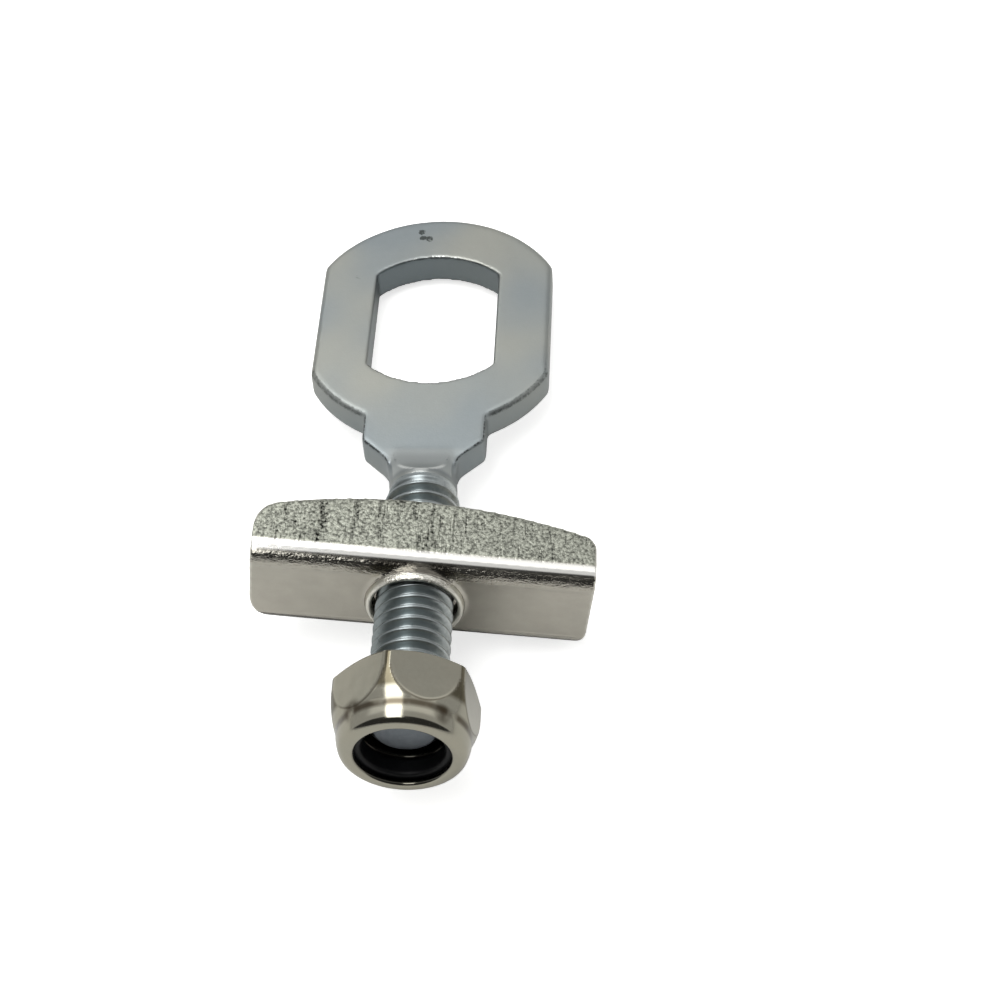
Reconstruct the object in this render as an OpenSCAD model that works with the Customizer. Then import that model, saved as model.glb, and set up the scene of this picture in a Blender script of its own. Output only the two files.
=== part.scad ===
// Chain tensioner: a forged eye bolt, a folded end bracket that slides on it,
// and a self-locking nut with its locking ring.
// The origin is the middle of the axle eye, halfway through its plate.
// The shank runs along -Y, +Z points up through the eye.

/* [Axle eye] */
// width of the axle hole between its two flats
hole_width = 10.3; // [6:0.1:14]
// length of the axle hole over its two round ends
hole_length = 14.8; // [14.2:0.1:18]
// wall beside each flat of the hole
side_wall = 4.55; // [3:0.05:6]
// wall beyond each round end of the hole
end_wall = 4.85; // [3.5:0.05:6]
// radius of the eye's two round ends
end_radius = 10.9; // [10.6:0.05:12]
// thickness of the flat forging
plate_thickness = 2.7; // [2:0.1:4]
// width of the worn bevel round the eye's outer edges
edge_bevel = 0.25; // [0.1:0.05:0.6]

/* [Neck] */
// width of the flat neck behind the eye
neck_width = 9.8; // [8:0.1:11.5]
// distance from the eye's middle to the neck's corners
neck_reach = 13.7; // [13.2:0.1:17]
// slope of the neck's shoulders, in degrees off square
shoulder_angle = 43; // [25:1:55]
// rounding of the neck's corners
neck_corner_radius = 0.9; // [0.3:0.1:1.5]
// hollow between the shoulders and the shank
shoulder_fillet = 2; // [0.8:0.1:2.5]
// hollow between the eye and the neck
eye_fillet = 0.6; // [0.3:0.1:1.2]
// radius of the hollow that runs from the flat up to the round shank
crest_hollow = 5; // [3:0.25:8]

/* [Shank] */
// diameter of the plain shank under the eye
shank_diameter = 5.34; // [4.8:0.02:5.6]
// diameter over the thread
thread_diameter = 5.86; // [5.7:0.02:6.4]
// length of plain shank left between the crest and the thread
plain_length = 0.9; // [0.4:0.1:3]
// distance from the eye's middle to the shank's far end
shank_reach = 40.5; // [38:0.1:46]
// bevel at the shank's far end
shank_bevel = 0.7; // [0.2:0.05:1]

/* [End bracket] */
// length of the bracket across the shank
bracket_length = 25.5; // [20:0.5:34]
// height of the bracket over its two folds
bracket_height = 8.3; // [8:0.1:12]
// sheet thickness of the bracket
sheet_thickness = 1.1; // [0.9:0.1:1.6]
// inside radius of the two folds
fold_inside_radius = 0.3; // [0.2:0.1:0.8]
// depth of the flanges in the middle of their bowed edge
flange_depth = 6.35; // [5.5:0.05:7.5]
// radius of the flanges' bowed edge
bow_radius = 43.5; // [40:0.5:80]
// distance of the bow's middle from the bracket's middle, to the left
bow_shift = 1; // [0:0.1:2]
// rounding of the flanges' left corners
left_corner_radius = 2.3; // [0.5:0.1:2.5]
// rounding of the flanges' right corners
right_corner_radius = 1.3; // [0.3:0.1:2]
// rounding of the lower fold's left end
lower_left_radius = 2.8; // [0.4:0.1:3.5]
// rounding of the lower fold's right end
lower_right_radius = 1.8; // [0.4:0.1:3.5]
// distance of the shank hole from the bracket's middle, to the left
hole_shift = 0.4; // [0:0.1:2]
// radial play of the shank in the bracket's hole
hole_play = 0.29; // [0.1:0.01:0.5]
// width of the burr round the hole
burr_width = 0.45; // [0.25:0.05:0.8]
// height of the burr at its highest side
burr_height = 0.8; // [0.4:0.05:1.2]
// lean of the burr's rim, which leaves it low on one side
burr_lean = 6; // [3:0.5:9]
// direction of the burr's high side, in degrees anticlockwise from the right
burr_direction = 35; // [0:5:90]
// distance from the eye's middle to the front of the bracket
bracket_reach = 28.8; // [26:0.1:30]
// turn of the bracket about the shank, right end down
bracket_turn = 7.5; // [-20:0.5:20]

/* [Locking nut] */
// width of the nut across its flats
nut_width = 9.8; // [9.6:0.1:11]
// diameter over the hexagon's turned corners
corner_diameter = 11.05; // [10.8:0.05:11.1]
// height of the whole nut
nut_height = 5.8; // [5.6:0.1:7]
// slope of the hexagon's rear bevel, in degrees
rear_bevel_angle = 30; // [20:1:40]
// radius of the arc that turns the hexagon's corners down to the collar
shoulder_radius = 5.5; // [5:0.1:7]
// distance of that arc's start from the nut's rear face
shoulder_start = 1.4; // [0.9:0.05:1.6]
// diameter of the collar in front of the hexagon, at its widest
collar_diameter = 9.72; // [9.6:0.02:9.8]
// distance of the collar's widest place from the nut's rear face
collar_start = 4; // [3.8:0.05:4.2]
// radius of the bulge that runs from there into the front rim
collar_bulge = 3.6; // [3:0.1:5]
// outside rounding of the nut's front rim
rim_radius = 0.8; // [0.5:0.05:1]
// diameter of the opening inside the rolled rim
collar_opening = 6.9; // [6.6:0.05:7.2]
// thickness of the rolled rim in front of the locking ring
rim_thickness = 0.5; // [0.35:0.05:0.7]
// radial play of the thread in the nut
thread_play = 0.05; // [0.02:0.01:0.08]
// bevel at the nut's threaded mouth
mouth_bevel = 0.4; // [0.2:0.05:0.6]
// length of thread that the nut holds
thread_grip = 3.6; // [3.2:0.1:3.8]
// turn of the nut, in degrees, of one flat from the top
nut_turn = 20; // [0:1:59]

/* [Locking ring] */
// outside diameter of the locking ring
ring_diameter = 8.1; // [7.6:0.05:8.3]
// thickness of the locking ring along the shank
ring_thickness = 1.4; // [1:0.05:1.5]
// play between the ring and its seat
ring_play = 0.05; // [0.02:0.01:0.08]
// rounding of the ring's front inner edge
ring_rounding = 0.3; // [0.15:0.05:0.4]

/* [Hidden] */

$fn = 96;
// small extra reach of cuts past the faces that they open
over = 0.5;

half_plate = plate_thickness / 2;
eye_half_width = hole_width / 2 + side_wall;
eye_half_length = hole_length / 2 + end_wall;
end_shift = eye_half_length - end_radius;

shank_radius = shank_diameter / 2;
thread_radius = thread_diameter / 2;
half_neck = neck_width / 2;
// the shoulders meet the shank's sides this far from the eye's middle
shoulder_reach = neck_reach + (half_neck - shank_radius) * tan(shoulder_angle);
turn_half = (90 - shoulder_angle) / 2;
// the flat starts to rise here, and meets the shank's crest there
rise_start = shoulder_reach - shank_radius / 2;
crest_rise = shank_radius - half_plate;
crest_reach = rise_start + sqrt(2 * crest_hollow * crest_rise - crest_rise * crest_rise);
thread_start = crest_reach + plain_length;

fold_radius = fold_inside_radius + sheet_thickness;
half_bracket = bracket_length / 2;
half_height = bracket_height / 2;
bracket_hole_radius = thread_radius + hole_play;
burr_radius = bracket_hole_radius + burr_width;

nut_reach = shank_reach - thread_grip;
nut_bore_radius = thread_radius + thread_play;
corner_radius = corner_diameter / 2;
// the collar's bulge runs into the front rim's rounding
bulge_middle = collar_diameter / 2 - collar_bulge;
rim_rise = nut_height - rim_radius - collar_start;
rim_reach = collar_bulge - rim_radius;
rim_middle = bulge_middle + sqrt(rim_reach * rim_reach - rim_rise * rim_rise);
bulge_end = collar_start + rim_rise * collar_bulge / rim_reach;
opening_radius = collar_opening / 2;
ring_radius = ring_diameter / 2;
ring_seat_depth = ring_thickness + 2 * ring_play;

// a flat sector between two tangent points and a corner, less the round that
// rolls between them: it fills a hollow, or cuts a corner off
module corner_piece(corner, from, to, middle, radius, height) {
    translate([0, 0, -height / 2])
        linear_extrude(height)
            difference() {
                polygon([corner, from, to]);
                translate(middle)
                    circle(radius);
            }
}

// repeats its children on both sides of the YZ plane
module both_sides() {
    children();
    mirror([1, 0, 0])
        children();
}

// a plate with straight sides and a bevel along both its edges
module bevelled_disc(radius, thickness, bevel) {
    rotate_extrude()
        polygon([
            [0, -thickness / 2],
            [radius - bevel, -thickness / 2],
            [radius, -thickness / 2 + bevel],
            [radius, thickness / 2 - bevel],
            [radius - bevel, thickness / 2],
            [0, thickness / 2],
        ]);
}

// one half of the eye, with its round end towards +Y
module eye_half() {
    intersection() {
        translate([0, end_shift, 0])
            bevelled_disc(end_radius, plate_thickness, edge_bevel);
        rotate([-90, 0, 0])
            linear_extrude(eye_half_length + over)
                polygon([
                    [-eye_half_width, -half_plate + edge_bevel],
                    [-eye_half_width + edge_bevel, -half_plate],
                    [eye_half_width - edge_bevel, -half_plate],
                    [eye_half_width, -half_plate + edge_bevel],
                    [eye_half_width, half_plate - edge_bevel],
                    [eye_half_width - edge_bevel, half_plate],
                    [-eye_half_width + edge_bevel, half_plate],
                    [-eye_half_width, half_plate - edge_bevel],
                ]);
    }
}

// the axle hole: round ends and two flats
module axle_hole() {
    intersection() {
        cylinder(r = hole_length / 2, h = plate_thickness + 2 * over, center = true);
        cube([hole_width, hole_length + over, plate_thickness + 2 * over], center = true);
    }
}

// the flat neck, from inside the eye to the shank
module neck_plate() {
    neck_root = hole_length / 2 + end_wall / 2;
    linear_extrude(plate_thickness, center = true)
        polygon([
            [-half_neck, -neck_root],
            [half_neck, -neck_root],
            [half_neck, -neck_reach],
            [shank_radius, -shoulder_reach],
            [-shank_radius, -shoulder_reach],
            [-half_neck, -neck_reach],
        ]);
}

// the hollow between the eye's round end and the neck's side
module eye_hollow() {
    middle_x = half_neck + eye_fillet;
    reach = end_radius + eye_fillet;
    middle_y = -end_shift - sqrt(pow(reach, 2) - pow(middle_x, 2));
    touch = end_radius / reach;
    corner_piece(
        [half_neck - over, -end_shift - sqrt(pow(end_radius, 2) - pow(half_neck, 2)) + over],
        [middle_x * touch, -end_shift + (middle_y + end_shift) * touch],
        [half_neck, middle_y],
        [middle_x, middle_y],
        eye_fillet,
        plate_thickness - 2 * edge_bevel
    );
}

// the hollow between a shoulder and the shank's side
module shoulder_hollow() {
    run = shoulder_fillet * tan(turn_half);
    corner_piece(
        [shank_radius - over, -shoulder_reach + over],
        [shank_radius + run * cos(shoulder_angle), -shoulder_reach + run * sin(shoulder_angle)],
        [shank_radius, -shoulder_reach - run],
        [shank_radius + shoulder_fillet, -shoulder_reach - run],
        shoulder_fillet,
        plate_thickness
    );
}

// what the rounding takes off the neck's corner
module neck_corner_cut() {
    run = neck_corner_radius * tan(turn_half);
    corner_piece(
        [half_neck, -neck_reach],
        [half_neck - run * cos(shoulder_angle), -neck_reach - run * sin(shoulder_angle)],
        [half_neck, -neck_reach + run],
        [half_neck - neck_corner_radius, -neck_reach + run],
        neck_corner_radius,
        plate_thickness + 2 * over
    );
}

// the round shank, hollowed down to the flat on both faces
module shank_root() {
    root_length = thread_start - rise_start;
    difference() {
        translate([0, -rise_start, 0])
            rotate([90, 0, 0])
                cylinder(r = shank_radius, h = root_length);
        for (side = [-1, 1])
            translate([0, -rise_start, side * (half_plate + crest_hollow)])
                rotate([0, 90, 0])
                    cylinder(r = crest_hollow, h = shank_diameter + 2 * over, center = true);
    }
}

// the threaded length, plain over the thread's crests
module threaded_shank() {
    translate([0, -thread_start, 0])
        rotate([90, 0, 0]) {
            cylinder(r = thread_radius, h = shank_reach - shank_bevel - thread_start);
            translate([0, 0, shank_reach - shank_bevel - thread_start])
                cylinder(r1 = thread_radius, r2 = thread_radius - shank_bevel, h = shank_bevel);
        }
}

module eye_bolt() {
    color("silver") {
        difference() {
            union() {
                eye_half();
                mirror([0, 1, 0])
                    eye_half();
                neck_plate();
                both_sides() {
                    eye_hollow();
                    shoulder_hollow();
                }
                shank_root();
                threaded_shank();
            }
            axle_hole();
            both_sides()
                neck_corner_cut();
        }
    }
}

// one fold of the bracket: a quarter round, from the web to the flange
module fold_quarter() {
    intersection() {
        circle(fold_radius);
        translate([-fold_radius, 0])
            square(fold_radius);
    }
}

// the bracket's section: web in front, a flange above and one below
module channel_section() {
    inside_height = half_height - sheet_thickness;
    difference() {
        union() {
            translate([0, -half_height + fold_radius])
                square([fold_radius, bracket_height - 2 * fold_radius]);
            translate([fold_radius, -half_height])
                square([flange_depth + over, bracket_height]);
            translate([fold_radius, half_height - fold_radius])
                fold_quarter();
            mirror([0, 1])
                translate([fold_radius, half_height - fold_radius])
                    fold_quarter();
        }
        translate([fold_radius, -inside_height])
            square([flange_depth + 2 * over, 2 * inside_height]);
        translate([sheet_thickness, -inside_height + fold_inside_radius])
            square([fold_radius, 2 * (inside_height - fold_inside_radius)]);
        for (side = [-1, 1])
            translate([fold_radius, side * (inside_height - fold_inside_radius)])
                circle(fold_inside_radius);
    }
}

// what the bowed edge and its rounded corners leave of the flanges, seen from above
module bracket_outline() {
    bow_middle = flange_depth - bow_radius;
    left_round_y = bow_middle + sqrt(
        pow(bow_radius - left_corner_radius, 2)
        - pow(half_bracket - left_corner_radius - bow_shift, 2)
    );
    right_round_y = bow_middle + sqrt(
        pow(bow_radius - right_corner_radius, 2)
        - pow(half_bracket - right_corner_radius + bow_shift, 2)
    );
    intersection() {
        translate([-bow_shift, bow_middle])
            circle(bow_radius, $fn = 4 * $fn);
        union() {
            translate([-half_bracket, -over])
                square([bracket_length, left_round_y + over]);
            translate([-half_bracket + left_corner_radius, -over])
                square([bracket_length - 2 * left_corner_radius, flange_depth + 2 * over]);
            translate([0, -over])
                square([half_bracket, right_round_y + over]);
            translate([0, -over])
                square([half_bracket - right_corner_radius, flange_depth + 2 * over]);
            translate([-half_bracket + left_corner_radius, left_round_y])
                circle(left_corner_radius);
            translate([half_bracket - right_corner_radius, right_round_y])
                circle(right_corner_radius);
        }
    }
}

// what the rounding takes off the lower fold's left end
module lower_corner_cut(radius) {
    translate([-half_bracket, -over, -half_height])
        rotate([-90, 0, 0])
            linear_extrude(2 * flange_depth)
                difference() {
                    translate([-over, -radius])
                        square(radius + over);
                    translate([radius, -radius])
                        circle(radius);
                }
}

// the burr that the punch raised round the hole, low on one side
module hole_burr() {
    rim_radius = burr_width / 2;
    intersection() {
        rotate([90, 0, 0])
            rotate_extrude() {
                translate([bracket_hole_radius, -sheet_thickness / 2])
                    square([burr_width, burr_height + sheet_thickness / 2 - rim_radius]);
                translate([bracket_hole_radius + rim_radius, burr_height - rim_radius])
                    circle(rim_radius, $fn = 32);
            }
        rotate([0, -burr_direction, 0])
            translate([burr_radius, -burr_height, 0])
                rotate([0, 0, burr_lean])
                    translate([-2 * bracket_length, 0, -bracket_height])
                        cube([4 * bracket_length, 2 * bracket_height, 2 * bracket_height]);
    }
}

// the bracket with its hole's middle at the origin and its web's front on the XZ plane
module loose_bracket() {
    difference() {
        union() {
            translate([hole_shift, 0, 0])
                difference() {
                    intersection() {
                        translate([-half_bracket, 0, 0])
                            rotate([90, 0, 90])
                                linear_extrude(bracket_length)
                                    channel_section();
                        linear_extrude(bracket_height + 2 * over, center = true)
                            bracket_outline();
                    }
                    lower_corner_cut(lower_left_radius);
                    mirror([1, 0, 0])
                        lower_corner_cut(lower_right_radius);
                }
            hole_burr();
        }
        rotate([90, 0, 0])
            cylinder(r = bracket_hole_radius, h = 4 * sheet_thickness, center = true);
    }
}

module end_bracket() {
    color("lightgrey")
        translate([0, -bracket_reach, 0])
            rotate([0, bracket_turn, 0])
                loose_bracket();
}

// the nut's turned outline: rear bevel, round shoulder, collar and rolled rim
module nut_outline() {
    rear_radius = nut_width / 2 - mouth_bevel / 4;
    rim_round = rim_thickness / 2;
    polygon([
        [0, 0],
        [rear_radius, 0],
        [corner_radius, (corner_radius - rear_radius) * tan(rear_bevel_angle)],
        [corner_radius, shoulder_start],
        [0, shoulder_start],
    ]);
    intersection() {
        translate([0, shoulder_start])
            square([corner_radius, bulge_end - shoulder_start]);
        translate([corner_radius - shoulder_radius, shoulder_start])
            circle(shoulder_radius);
    }
    intersection() {
        translate([0, collar_start])
            square([corner_radius, bulge_end - collar_start]);
        translate([bulge_middle, collar_start])
            circle(collar_bulge);
    }
    square([rim_middle, nut_height]);
    translate([rim_middle, nut_height - rim_radius])
        circle(rim_radius);
    translate([opening_radius + rim_round, nut_height - rim_round])
        circle(rim_round);
}

// everything that the nut's hollow takes: thread, seat of the ring and opening
module nut_hollow() {
    seat_front = nut_height - rim_thickness;
    rim_round = rim_thickness / 2;
    square([nut_bore_radius, nut_height]);
    polygon([
        [0, -over],
        [nut_bore_radius + mouth_bevel + over, -over],
        [nut_bore_radius, mouth_bevel],
        [0, mouth_bevel],
    ]);
    translate([0, seat_front - ring_seat_depth])
        square([ring_radius + ring_play, ring_seat_depth]);
    translate([0, seat_front - over])
        square([opening_radius, rim_thickness + 2 * over]);
    difference() {
        translate([0, nut_height - rim_round])
            square([opening_radius + rim_round, rim_round + over]);
        translate([opening_radius + rim_round, nut_height - rim_round])
            circle(rim_round);
    }
}

module nut_body() {
    color("gainsboro")
        translate([0, -nut_reach, 0])
            rotate([90, 0, 0])
                intersection() {
                    rotate([0, 0, -nut_turn])
                        cylinder(d = nut_width * 2 / sqrt(3), h = nut_height, $fn = 6);
                    rotate_extrude()
                        difference() {
                            nut_outline();
                            nut_hollow();
                        }
                }
}

// the ring that grips the thread, with a rounded mouth
module locking_ring() {
    ring_start = nut_height - rim_thickness - ring_play - ring_thickness;
    color("dimgrey")
        translate([0, -nut_reach - ring_start, 0])
            rotate([90, 0, 0])
                rotate_extrude()
                    difference() {
                        translate([nut_bore_radius, 0])
                            square([ring_radius - nut_bore_radius, ring_thickness]);
                        difference() {
                            translate([nut_bore_radius - over, ring_thickness - ring_rounding])
                                square([ring_rounding + over, ring_rounding + over]);
                            translate([nut_bore_radius + ring_rounding, ring_thickness - ring_rounding])
                                circle(ring_rounding, $fn = 32);
                        }
                    }
}

eye_bolt();
end_bracket();
nut_body();
locking_ring();
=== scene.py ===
"""Chain tensioner: the dressed eye bolt, end bracket, locking nut and ring, with their stage.

Everything is in metres, in the frame of the part: the origin is the middle of the axle eye,
the shank runs along -Y and +Z points up through the eye. Sizes named below are in millimetres.
"""

import math

import bmesh
import bpy
import numpy as np
from mathutils import Matrix, Vector, noise


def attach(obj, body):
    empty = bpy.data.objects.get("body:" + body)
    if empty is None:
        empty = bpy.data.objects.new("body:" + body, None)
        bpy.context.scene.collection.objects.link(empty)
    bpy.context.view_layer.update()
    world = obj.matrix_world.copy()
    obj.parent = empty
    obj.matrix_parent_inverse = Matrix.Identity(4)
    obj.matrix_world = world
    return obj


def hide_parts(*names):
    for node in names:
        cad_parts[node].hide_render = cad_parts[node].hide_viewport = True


bl_info = {
    "name": "Chain tensioner",
    "version": (1, 0, 0),
    "blender": (4, 5, 0),
    "location": "View3D > Sidebar > Tensioner",
    "description": "Builds a chain tensioner's pieces and finishes over its packed frame",
    "category": "Add Mesh",
}

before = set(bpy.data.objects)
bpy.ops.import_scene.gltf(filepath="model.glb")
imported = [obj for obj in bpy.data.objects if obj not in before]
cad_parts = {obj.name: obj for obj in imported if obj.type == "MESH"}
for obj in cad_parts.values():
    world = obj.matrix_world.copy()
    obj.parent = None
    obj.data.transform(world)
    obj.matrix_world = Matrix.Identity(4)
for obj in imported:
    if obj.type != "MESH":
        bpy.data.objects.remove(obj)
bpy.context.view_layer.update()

MM = 0.001

# The plate: half its thickness, its hole's reach to just past the walls, and its far end
HALF_PLATE = 1.35
HOLE_ACROSS = 5.5
HOLE_ALONG = 7.75
EYE_END = 12.2
# The shank
PLAIN_RADIUS = 2.67
THREAD_RADIUS = 2.93
THREAD_START = 18.74
SHANK_REACH = 40.5
# The bracket's turn about the shank, in degrees
BRACKET_TURN = 7.5
# The nut and its ring; the nut's turn is in degrees
NUT_REACH = 36.9
NUT_HEIGHT = 5.8
NUT_APOTHEM = 4.9
NUT_TURN = 20.0
BORE_RADIUS = 2.98
RING_START = 3.85
RING_END = 5.25
# Shares of the thread's rows that close its start and its end
START_ROWS = 0.01
END_ROWS = 0.04
# The floor: its height below the shank's axis, how far down the shank that is measured,
# and the drop that sets its slope
FLOOR_DEPTH = 6.68
FLOOR_REACH = 26.0
FLOOR_DROP = 6.66
# The camera: azimuth, elevation and roll in degrees, and its place in metres
CAMERA_ANGLES = (4.54, 49.27, -3.31)
CAMERA_PLACE = (0.01422, -0.12183, 0.11994)

# Tones of zones and marks on the pieces, painted highlights and painted shade among them, as screen
# colours
HOLE_WALL_SHADE = (109, 119, 124)
NECK_SHADE = (112, 119, 124)
NECK_HOLLOW_LIGHT = (186, 190, 188)
PIT = (50, 54, 52)
TORN_EDGE_SHADE = (48, 51, 50)
EDGE_GLINT = (226, 229, 226)
THREAD_STAIN = (70, 78, 82)
SHEET_EDGE_GLINT = (214, 212, 202)
FOLD_GLINT = (248, 247, 242)
FOLD_SHADE = (52, 50, 45)
BURR_SHADE = (72, 68, 60)
NUT_CORNER_SHADE = (92, 87, 72)
BORE_SHADE = (24, 23, 21)
RING_SPECK = (12, 12, 14)


# Small tools


def tone(red, green, blue):
    """A screen colour, 0 to 255 each, as the linear colour that a shader takes."""
    parts = []
    for part in (red, green, blue):
        part = part / 255
        parts.append(part / 12.92 if part <= 0.04045 else ((part + 0.055) / 1.055) ** 2.4)
    return (*parts, 1.0)


def feed(tree, socket, value):
    """Links a flow into a socket, or sets the socket's own value."""
    if isinstance(value, Flow):
        tree.links.new(value.socket, socket)
    else:
        socket.default_value = value


class Flow:
    """The value that leaves a socket; Python's operators on it add Math nodes."""

    def __init__(self, tree, socket):
        self.tree = tree
        self.socket = socket

    def math(self, operation, *terms, clamp=False):
        """A Math node over the given terms."""
        made = self.tree.nodes.new("ShaderNodeMath")
        made.operation = operation
        made.use_clamp = clamp
        for socket, value in zip(made.inputs, terms):
            feed(self.tree, socket, value)
        return Flow(self.tree, made.outputs[0])

    def __add__(self, other):
        return self.math("ADD", self, other)

    __radd__ = __add__

    def __sub__(self, other):
        return self.math("SUBTRACT", self, other)

    def __rsub__(self, other):
        return self.math("SUBTRACT", other, self)

    def __mul__(self, other):
        return self.math("MULTIPLY", self, other)

    __rmul__ = __mul__

    def __truediv__(self, other):
        return self.math("DIVIDE", self, other)

    def __rtruediv__(self, other):
        return self.math("DIVIDE", other, self)

    def __pow__(self, other):
        return self.math("POWER", self, other)

    def __abs__(self):
        return self.math("ABSOLUTE", self)

    def clamped(self):
        return self.math("ADD", self, 0.0, clamp=True)

    def lower_of(self, other):
        return self.math("MINIMUM", self, other)

    def upper_of(self, other):
        return self.math("MAXIMUM", self, other)

    def part(self):
        return self.math("FRACT", self)

    def sine(self):
        return self.math("SINE", self)

    def cosine(self):
        return self.math("COSINE", self)


class Board:
    """A node tree under construction."""

    def __init__(self, tree):
        self.tree = tree

    def node(self, kind, settings=None, inputs=None):
        """Adds a node: its settings first, then the values or flows of its sockets."""
        made = self.tree.nodes.new(kind)
        for name, value in (settings or {}).items():
            setattr(made, name, value)
        for name, value in (inputs or {}).items():
            feed(self.tree, made.inputs[name], value)
        return made

    def flow(self, kind, settings=None, inputs=None, out=0):
        """Adds a node and gives one of its outputs as a flow."""
        return Flow(self.tree, self.node(kind, settings, inputs).outputs[out])

    def step(self, value, low, high):
        """A soft step: 0 where value is at low, 1 where it is at high."""
        return self.flow(
            "ShaderNodeMapRange",
            {"interpolation_type": "SMOOTHSTEP"},
            {0: value, 1: low, 2: high},
        )

    def between(self, value, low, low_full, high_full, high):
        """1 from low_full to high_full, fading to 0 at low and at high."""
        return self.step(value, low, low_full) * self.step(value, high, high_full)


class Finish(Board):
    """A material under construction, with the usual patterns on Object coordinates."""

    def __init__(self, name, turn=0.0):
        self.material = bpy.data.materials.new(name)
        self.material.use_nodes = True
        super().__init__(self.material.node_tree)
        self.tree.nodes.clear()
        coords = self.flow("ShaderNodeTexCoord", out="Object")
        # places are in millimetres from here on
        self.place = self.flow(
            "ShaderNodeMapping",
            {"vector_type": "POINT"},
            {
                "Vector": coords,
                "Scale": (1 / MM,) * 3,
                "Rotation": (0.0, math.radians(turn), 0.0),
            },
        )
        parts = self.node("ShaderNodeSeparateXYZ", inputs={0: self.place})
        self.x, self.y, self.z = (Flow(self.tree, s) for s in parts.outputs)

    def stretched(self, scale):
        """The place with each direction scaled on its own."""
        return self.flow(
            "ShaderNodeVectorMath", {"operation": "MULTIPLY"}, {0: self.place, 1: scale}
        )

    def cloud(self, size, detail=2.0, rough=0.5, seed=0.0, stretch=(1.0, 1.0, 1.0)):
        """Noise from 0 to 1 whose lumps are about size millimetres across."""
        where = self.stretched(tuple(s / size for s in stretch))
        return self.flow(
            "ShaderNodeTexNoise",
            {"noise_dimensions": "4D"},
            {"Vector": where, "W": seed, "Scale": 1.0, "Detail": detail, "Roughness": rough},
        )

    def spot(self, centre, radius, soft=0.5):
        """1 inside a ball round a place in millimetres, fading outwards."""
        away = self.flow(
            "ShaderNodeVectorMath",
            {"operation": "DISTANCE"},
            {0: self.place, 1: centre},
            out="Value",
        )
        return self.step(away, radius * (1 + soft), radius * (1 - soft))

    def mix(self, factor, below, above):
        """One colour over another."""
        return self.flow(
            "ShaderNodeMix",
            {"data_type": "RGBA", "blend_type": "MIX"},
            {0: factor, 6: below, 7: above},
            out=2,
        )

    def shade(self, colour, amount):
        """A colour brightened or darkened by an amount that varies."""
        grey = self.flow("ShaderNodeCombineXYZ", inputs={0: amount, 1: amount, 2: amount})
        colour = colour[:3] if isinstance(colour, tuple) else colour
        return self.flow("ShaderNodeVectorMath", {"operation": "MULTIPLY"}, {0: colour, 1: grey})

    def bump(self, height, depth, strength=1.0):
        """A bump whose height runs from 0 to 1 over a depth in millimetres."""
        return self.flow(
            "ShaderNodeBump",
            inputs={"Strength": strength, "Distance": depth * MM, "Height": height},
        )

    def from_axis(self):
        """Distance from the shank's axis, in millimetres."""
        return (self.x * self.x + self.z * self.z) ** 0.5

    def wave_rings(self, size):
        """Rings round the shank's axis, from 0 to 1, size millimetres apart."""
        return (self.from_axis() * (2 * math.pi / size)).sine() * 0.5 + 0.5

    def attribute(self, name):
        """A value kept on the mesh."""
        return self.flow("ShaderNodeAttribute", {"attribute_name": name}, out="Fac")

    def close(self, **sockets):
        """The surface itself: a Principled shader with the given sockets."""
        names = {
            "colour": "Base Color",
            "metal": "Metallic",
            "rough": "Roughness",
            "normal": "Normal",
            "specular": "Specular IOR Level",
        }
        shader = self.node(
            "ShaderNodeBsdfPrincipled", inputs={names[k]: v for k, v in sockets.items()}
        )
        self.node("ShaderNodeOutputMaterial", inputs={0: Flow(self.tree, shader.outputs[0])})
        return self.material


# Mesh handling


def show(name, mesh):
    """Puts a mesh into the scene as an object at the origin."""
    piece = bpy.data.objects.new(name, mesh)
    bpy.context.scene.collection.objects.link(piece)
    return piece


def make_plain(piece):
    """Gives a piece the mesh that its modifiers make of it, and removes them."""
    bpy.context.view_layer.update()
    graph = bpy.context.evaluated_depsgraph_get()
    before, made = piece.data, bpy.data.meshes.new_from_object(piece.evaluated_get(graph))
    piece.modifiers.clear()
    piece.data = made
    bpy.data.meshes.remove(before)
    made.name = piece.name


def face_outwards(mesh):
    """Turns every face of a closed mesh outwards."""
    shape = bmesh.new()
    shape.from_mesh(mesh)
    bmesh.ops.recalc_face_normals(shape, faces=shape.faces)
    shape.to_mesh(mesh)
    shape.free()


def shade_smooth(mesh):
    """Shades all faces smooth."""
    mesh.polygons.foreach_set("use_smooth", np.ones(len(mesh.polygons), bool))


def remeshed_copy(node, name, voxel, keep_above=None):
    """An even quad mesh over a merged copy of a CAD node, in millimetres.

    keep_above cuts away what lies further down the shank.
    """
    shape = bmesh.new()
    shape.from_mesh(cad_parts[node].data)
    bmesh.ops.scale(shape, vec=(1 / MM,) * 3, verts=shape.verts)
    bmesh.ops.remove_doubles(shape, verts=shape.verts, dist=0.002)
    if keep_above is not None:
        whole = shape.verts[:] + shape.edges[:] + shape.faces[:]
        cut = bmesh.ops.bisect_plane(
            shape, geom=whole, plane_co=(0, keep_above, 0), plane_no=(0, -1, 0), clear_outer=True
        )
        rim = [e for e in cut["geom_cut"] if isinstance(e, bmesh.types.BMEdge)]
        bmesh.ops.contextual_create(shape, geom=rim)
    mesh = bpy.data.meshes.new(name)
    shape.to_mesh(mesh)
    shape.free()
    piece = show(name, mesh)
    net = piece.modifiers.new("net", "REMESH")
    net.mode = "VOXEL"
    net.voxel_size = voxel
    make_plain(piece)
    return piece


def read_points(mesh):
    points = np.empty(len(mesh.vertices) * 3)
    mesh.vertices.foreach_get("co", points)
    return points.reshape(-1, 3)


def read_edges(mesh):
    edges = np.empty(len(mesh.edges) * 2, int)
    mesh.edges.foreach_get("vertices", edges)
    return edges.reshape(-1, 2)


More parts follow.
